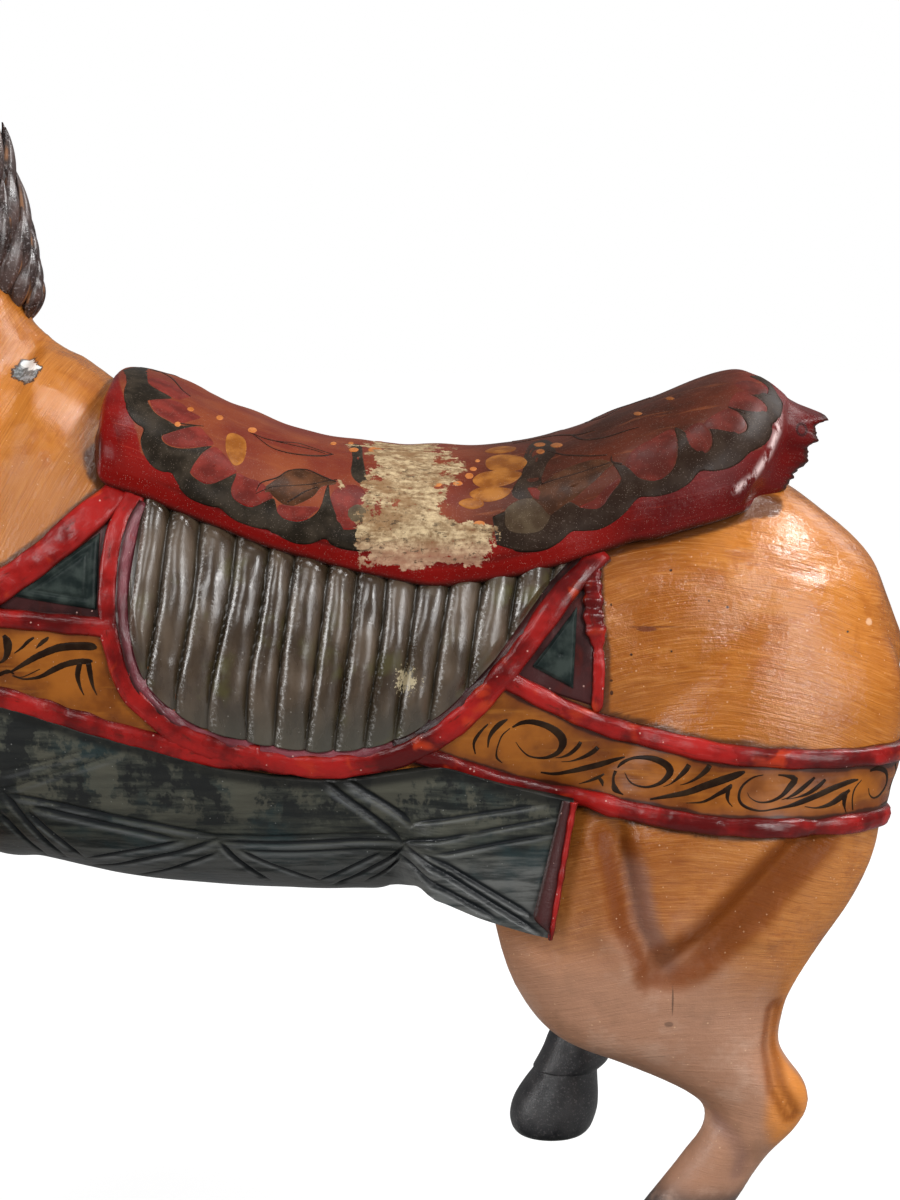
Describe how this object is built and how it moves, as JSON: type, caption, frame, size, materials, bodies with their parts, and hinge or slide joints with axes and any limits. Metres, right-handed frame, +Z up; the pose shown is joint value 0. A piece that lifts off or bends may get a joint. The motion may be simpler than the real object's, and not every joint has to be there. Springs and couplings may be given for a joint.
{
  "type": "carousel horse",
  "caption": "Carved and painted wooden carousel horse with saddle, skirts and bands, stepping on a low plank base.",
  "frame": {"origin": "middle of the base's underside", "axes": "+Z up, the horse faces -X, its left side, the one with the worn saddle patch, is -Y"},
  "size_m": [0.9332, 0.3, 1.0279],
  "materials": {
    "ochre_varnish": "aged ochre varnish over carved wood, glossy, with fine brush grain",
    "crimson_paint": "glossy crimson paint with dark seams and rubbed ridges",
    "saddle_paint": "brown-red painted saddle with a dark scalloped edge and a worn patch",
    "bronze_paint": "olive-grey bronze paint on gathered folds, glossy on the crests",
    "slate_paint": "slate green-grey paint with cut lines, rubbed and smeared",
    "black_paint": "glossy black-brown paint",
    "base_paint": "dull dark paint on a plank, worn at the edges"
  },
  "bodies": {
    "root": {"horse": "ochre_varnish", "base": "base_paint"}
  },
  "joints": []
}
